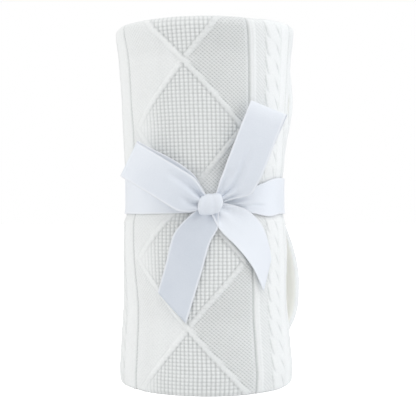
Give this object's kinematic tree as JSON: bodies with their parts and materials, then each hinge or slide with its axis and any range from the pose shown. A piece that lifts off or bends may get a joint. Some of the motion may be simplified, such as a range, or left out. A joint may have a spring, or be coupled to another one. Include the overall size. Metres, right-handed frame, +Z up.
{
  "type": "rolled knitted baby blanket tied with a ribbon",
  "caption": "Knitted baby blanket with cables and a diamond trellis, folded, rolled upright and tied with a satin ribbon bow.",
  "frame": {"origin": "on the surface that the roll stands on, near the middle of its lower end", "axes": "+Z up along the roll, -Y towards the bow at the front, +X towards the loose end at the right"},
  "size_m": [0.1367, 0.1364, 0.254],
  "materials": {
    "knit": "white cable knit, matt, with waffle diamonds, seed stitch and rope cables",
    "satin": "white satin ribbon with a soft sheen"
  },
  "bodies": {
    "root": {"blanket": "knit", "ribbon": "satin"}
  },
  "joints": []
}
